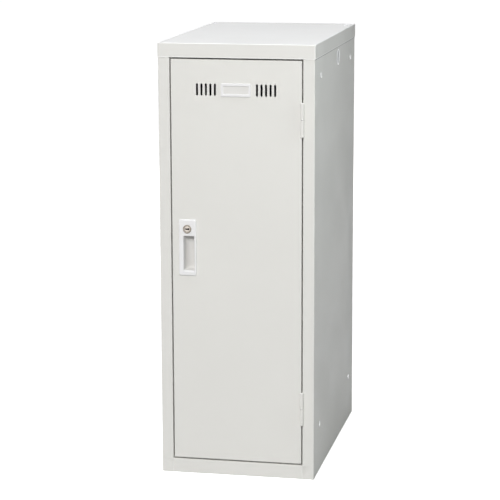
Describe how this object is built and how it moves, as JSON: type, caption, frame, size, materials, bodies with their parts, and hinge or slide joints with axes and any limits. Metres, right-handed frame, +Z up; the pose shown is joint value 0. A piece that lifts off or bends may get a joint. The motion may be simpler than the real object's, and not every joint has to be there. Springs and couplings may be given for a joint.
{
  "type": "personal mini locker",
  "caption": "Folded steel locker cabinet with one hinged door, a recessed handle with a cam lock, vent slots, a card holder, a shelf and a hanger tube.",
  "frame": {"origin": "on the floor, under the middle of the whole object's box", "axes": "+Z up, the door faces -Y, +X to the right as seen from the front, towards the hinges"},
  "size_m": [0.317, 0.5212, 0.881],
  "materials": {
    "body_paint": "satin baked enamel, warm off-white",
    "door_paint": "satin baked enamel, warm off-white",
    "hinge_paint": "satin baked enamel, painted with the cabinet",
    "handle_plastic": "white moulded plastic, low gloss",
    "plug_plastic": "white moulded plastic, matt",
    "catch_plastic": "grey moulded plastic",
    "card_paper": "blank pale card",
    "lock_nickel": "satin nickel, slightly warm",
    "zinc_plate": "zinc plated steel",
    "tube_chrome": "chrome plated tube",
    "magnet_ferrite": "dark ferrite",
    "bumper_rubber": "black rubber"
  },
  "bodies": {
    "cabinet": {"top_cap": "body_paint", "side_panel_right": "body_paint", "side_panel_left": "body_paint", "back_panel": "body_paint", "front_rail": "body_paint", "top_rail": "body_paint", "floor_pan": "body_paint", "shelf": "body_paint", "shelf_rail_right": "body_paint", "shelf_rail_left": "body_paint", "hanger_tube": "tube_chrome", "hanger_socket_right": "zinc_plate", "hanger_socket_left": "zinc_plate", "side_plug_right_front_upper": "plug_plastic", "side_plug_right_rear_upper": "plug_plastic", "side_plug_right_front_lower": "plug_plastic", "side_plug_right_rear_lower": "plug_plastic", "side_plug_left_front_upper": "plug_plastic", "side_plug_left_rear_upper": "plug_plastic", "side_plug_left_front_lower": "plug_plastic", "side_plug_left_rear_lower": "plug_plastic", "cable_hole_plug_right": "plug_plastic", "cable_hole_plug_left": "plug_plastic", "top_plug_right": "plug_plastic", "top_plug_left": "plug_plastic", "hinge_upper_frame_leaf": "hinge_paint", "hinge_upper_pin": "zinc_plate", "hinge_lower_frame_leaf": "hinge_paint", "hinge_lower_pin": "zinc_plate", "catch_case": "catch_plastic", "catch_magnet": "magnet_ferrite", "catch_screw_upper": "zinc_plate", "catch_screw_lower": "zinc_plate", "door_bumper_upper": "bumper_rubber", "door_bumper_lower": "bumper_rubber"},
    "door": {"door_skin": "door_paint", "door_stiffener": "door_paint", "hinge_upper_door_leaf": "hinge_paint", "hinge_lower_door_leaf": "hinge_paint", "handle_housing": "handle_plastic", "card_frame": "handle_plastic", "name_card": "card_paper", "lock_case": "lock_nickel", "lock_nut": "zinc_plate"},
    "lock": {"lock_plug": "lock_nickel", "lock_cam": "zinc_plate", "cam_screw": "zinc_plate"}
  },
  "joints": [
    {"name": "door_swing", "type": "hinge", "parent": "cabinet", "child": "door", "pos_m": [0.13275, -0.25683, 0.44], "axis": [0, 0, 1], "range_deg": [0, 180]},
    {"name": "key_turn", "type": "hinge", "parent": "door", "child": "lock", "pos_m": [-0.09995, -0.25333, 0.50872], "axis": [0, 1, 0], "range_deg": [0, 90]}
  ]
}
